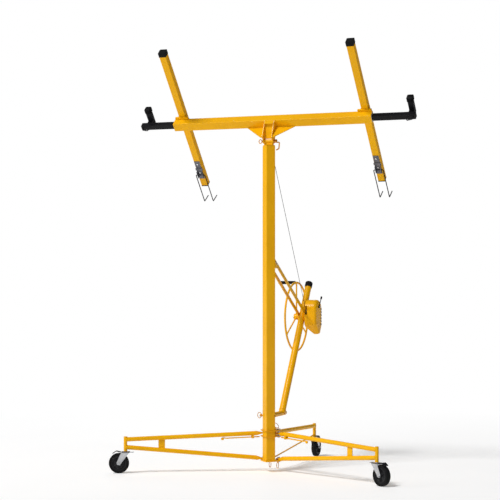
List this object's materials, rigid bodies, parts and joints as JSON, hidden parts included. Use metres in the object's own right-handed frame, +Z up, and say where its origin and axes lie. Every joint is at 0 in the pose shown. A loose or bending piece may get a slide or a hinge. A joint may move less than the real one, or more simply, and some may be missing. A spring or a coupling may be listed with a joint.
{
  "type": "drywall lift",
  "caption": "Rolling panel hoist: folding tripod base with casters, telescoping square mast, hand-wheel winch with wire rope, and a tilting cradle with cross arms.",
  "frame": {"origin": "on the floor, at the centre of the whole lift's footprint box", "axes": "+Z up the mast, +X along the cradle beam, +Y towards the winch and the rear leg"},
  "size_m": [1.8277, 1.4266, 2.618],
  "materials": {
    "yellow_paint": "glossy yellow powder coat",
    "black_paint": "satin black powder coat",
    "black_rubber": "matt moulded rubber",
    "black_tyre": "matt tyre rubber",
    "wheel_plastic": "moulded dark plastic",
    "zinc_plate": "bright zinc plated steel",
    "gold_plate": "yellow passivated steel",
    "grey_steel": "dull pressed steel",
    "wire_rope": "galvanised strands",
    "nylon": "natural nylon",
    "hook_wire": "black dipped steel wire"
  },
  "bodies": {
    "root": {"mast_outer_tube": "yellow_paint", "outer_slide_pads": "nylon", "pulley_bracket": "yellow_paint", "hub_upper_plates": "yellow_paint", "hub_plate_and_post": "yellow_paint", "rear_leg_frame": "yellow_paint", "winch_handle_frame": "yellow_paint", "tube_end_caps": "black_rubber", "winch_struts": "yellow_paint", "frame_bolts": "zinc_plate", "winch_cover": "yellow_paint", "cover_screws": "zinc_plate", "lift_cable": "wire_rope"},
    "top_pulley": {"mast_pulley": "nylon"},
    "middle_mast": {"mast_middle_tube": "yellow_paint", "middle_slide_pads": "nylon"},
    "inner_mast": {"mast_inner_tube": "yellow_paint", "mast_head": "yellow_paint", "tilt_bolt": "gold_plate"},
    "tilt_lock": {"tilt_lock_handle": "gold_plate"},
    "cradle": {"cradle_yoke": "yellow_paint", "cradle_beam": "yellow_paint", "beam_end_bushes": "nylon", "saddle_brackets": "yellow_paint", "cross_arms": "yellow_paint", "arm_end_caps": "black_rubber", "hook_brackets": "grey_steel", "cradle_bolts": "zinc_plate"},
    "winch_wheel": {"hand_wheel": "yellow_paint", "winch_shaft": "zinc_plate", "winch_drum": "grey_steel", "cable_winding": "wire_rope"},
    "grip": {"wheel_grip": "black_rubber"},
    "brake": {"brake_lever": "black_paint"},
    "base_pin": {"mast_base_pin": "gold_plate"},
    "rear_pin": {"rear_ring_pin": "gold_plate"},
    "left_outrigger_bar": {"left_outrigger": "black_paint", "left_outrigger_pad": "black_rubber"},
    "left_hook": {"left_panel_hook": "hook_wire"},
    "left_leg": {"left_leg_frame": "yellow_paint"},
    "left_latch": {"left_latch_bar": "yellow_paint"},
    "left_hub_pin": {"left_hub_ring_pin": "gold_plate"},
    "right_outrigger_bar": {"right_outrigger": "black_paint", "right_outrigger_pad": "black_rubber"},
    "right_hook": {"right_panel_hook": "hook_wire"},
    "right_leg": {"right_leg_frame": "yellow_paint"},
    "right_latch": {"right_latch_bar": "yellow_paint"},
    "right_hub_pin": {"right_hub_ring_pin": "gold_plate"},
    "left_swivel": {"left_caster_fork": "zinc_plate"},
    "left_wheel": {"left_caster_wheel": "wheel_plastic", "left_caster_tyre": "black_tyre"},
    "left_pedal": {"left_caster_pedal": "black_paint"},
    "right_swivel": {"right_caster_fork": "zinc_plate"},
    "right_wheel": {"right_caster_wheel": "wheel_plastic", "right_caster_tyre": "black_tyre"},
    "right_pedal": {"right_caster_pedal": "black_paint"},
    "rear_swivel": {"rear_caster_fork": "zinc_plate"},
    "rear_wheel": {"rear_caster_wheel": "wheel_plastic", "rear_caster_tyre": "black_tyre"},
    "rear_pedal": {"rear_caster_pedal": "black_paint"}
  },
  "joints": [
    {"name": "mast_lift", "type": "slide", "parent": "root", "child": "middle_mast", "axis": [0, 0, 1], "range_m": [0, 1.25]},
    {"name": "mast_second_lift", "type": "slide", "parent": "middle_mast", "child": "inner_mast", "axis": [0, 0, 1], "range_m": [0, 1.25]},
    {"name": "winch_turn", "type": "hinge", "parent": "root", "child": "winch_wheel", "pos_m": [-0.01115, 0.3878, 0.949], "axis": [1, 0, 0], "range_deg": [0, 1907]},
    {"name": "top_pulley_turn", "type": "hinge", "parent": "root", "child": "top_pulley", "pos_m": [-0.01115, -0.2172, 1.95], "axis": [1, 0, 0], "range_deg": [-3413, 0]},
    {"name": "grip_spin", "type": "hinge", "parent": "winch_wheel", "child": "grip", "pos_m": [-0.12115, 0.3878, 1.175], "axis": [1, 0, 0], "continuous": true},
    {"name": "brake_release", "type": "hinge", "parent": "root", "child": "brake", "pos_m": [0.09585, 0.3798, 1.015], "axis": [1, 0, 0], "range_deg": [-30, 10]},
    {"name": "cradle_tilt", "type": "hinge", "parent": "inner_mast", "child": "cradle", "pos_m": [-0.01115, -0.2752, 2.05], "axis": [1, 0, 0], "range_deg": [-17, 48]},
    {"name": "tilt_lock_turn", "type": "hinge", "parent": "inner_mast", "child": "tilt_lock", "pos_m": [-0.01115, -0.2752, 2.05], "axis": [1, 0, 0], "range_deg": [-20, 60]},
    {"name": "left_outrigger_slide", "type": "slide", "parent": "cradle", "child": "left_outrigger_bar", "axis": [-1, 0, 0], "range_m": [-0.12, 0.2]},
    {"name": "left_hook_fold", "type": "hinge", "parent": "cradle", "child": "left_hook", "pos_m": [-0.61615, 0.06713, 1.88053], "axis": [1, 0, 0], "range_deg": [-100, 0]},
    {"name": "left_leg_fold", "type": "hinge", "parent": "root", "child": "left_leg", "pos_m": [-0.06115, -0.2352, 0.16], "axis": [0, 0, 1], "range_deg": [-92, 0]},
    {"name": "left_latch_press", "type": "hinge", "parent": "left_leg", "child": "left_latch", "pos_m": [-0.1216, -0.26847, 0.2124], "axis": [-0.4822, 0.8761, 0], "range_deg": [-8, 0]},
    {"name": "left_hub_pin_pull", "type": "slide", "parent": "root", "child": "left_hub_pin", "axis": [0, 0, -1], "range_m": [0, 0.035]},
    {"name": "right_outrigger_slide", "type": "slide", "parent": "cradle", "child": "right_outrigger_bar", "axis": [1, 0, 0], "range_m": [-0.19, 0.12]},
    {"name": "right_hook_fold", "type": "hinge", "parent": "cradle", "child": "right_hook", "pos_m": [0.59385, 0.06713, 1.88053], "axis": [1, 0, 0], "range_deg": [-100, 0]},
    {"name": "right_leg_fold", "type": "hinge", "parent": "root", "child": "right_leg", "pos_m": [0.03885, -0.2352, 0.16], "axis": [0, 0, 1], "range_deg": [0, 92]},
    {"name": "right_latch_press", "type": "hinge", "parent": "right_leg", "child": "right_latch", "pos_m": [0.0993, -0.26847, 0.2124], "axis": [-0.4822, -0.8761, 0], "range_deg": [-8, 0]},
    {"name": "right_hub_pin_pull", "type": "slide", "parent": "root", "child": "right_hub_pin", "axis": [0, 0, -1], "range_m": [0, 0.035]},
    {"name": "base_pin_pull", "type": "slide", "parent": "root", "child": "base_pin", "axis": [-1, 0, 0], "range_m": [0, 0.06]},
    {"name": "rear_pin_pull", "type": "slide", "parent": "root", "child": "rear_pin", "axis": [0, 0, 1], "range_m": [0, 0.015]},
    {"name": "left_caster_swivel", "type": "hinge", "parent": "left_leg", "child": "left_swivel", "pos_m": [-0.81414, -0.64964, 0.15], "axis": [0, 0, 1], "continuous": true},
    {"name": "left_wheel_roll", "type": "hinge", "parent": "left_swivel", "child": "left_wheel", "pos_m": [-0.85149, -0.66396, 0.0625], "axis": [-0.3579, 0.9338, 0], "continuous": true},
    {"name": "left_pedal_press", "type": "hinge", "parent": "left_swivel", "child": "left_pedal", "pos_m": [-0.84215, -0.66038, 0.131], "axis": [-0.3579, 0.9338, 0], "range_deg": [-6, 0]},
    {"name": "right_caster_swivel", "type": "hinge", "parent": "right_leg", "child": "right_swivel", "pos_m": [0.79184, -0.64964, 0.15], "axis": [0, 0, 1], "continuous": true},
    {"name": "right_wheel_roll", "type": "hinge", "parent": "right_swivel", "child": "right_wheel", "pos_m": [0.82628, -0.66999, 0.0625], "axis": [-0.5087, -0.8609, 0], "continuous": true},
    {"name": "right_pedal_press", "type": "hinge", "parent": "right_swivel", "child": "right_pedal", "pos_m": [0.81767, -0.6649, 0.131], "axis": [-0.5087, -0.8609, 0], "range_deg": [-6, 0]},
    {"name": "rear_caster_swivel", "type": "hinge", "parent": "root", "child": "rear_swivel", "pos_m": [-0.01115, 0.6108, 0.15], "axis": [0, 0, 1], "continuous": true},
    {"name": "rear_wheel_roll", "type": "hinge", "parent": "rear_swivel", "child": "rear_wheel", "pos_m": [-0.01115, 0.6508, 0.0625], "axis": [1, 0, 0], "continuous": true},
    {"name": "rear_pedal_press", "type": "hinge", "parent": "rear_swivel", "child": "rear_pedal", "pos_m": [-0.01115, 0.6408, 0.131], "axis": [1, 0, 0], "range_deg": [-6, 0]}
  ],
  "couplings": [
    {"joint": "mast_second_lift", "follows": "mast_lift", "ratio": 1},
    {"joint": "winch_turn", "follows": "mast_lift", "rad_per_m": 26.596},
    {"joint": "top_pulley_turn", "follows": "mast_lift", "rad_per_m": -47.619}
  ]
}
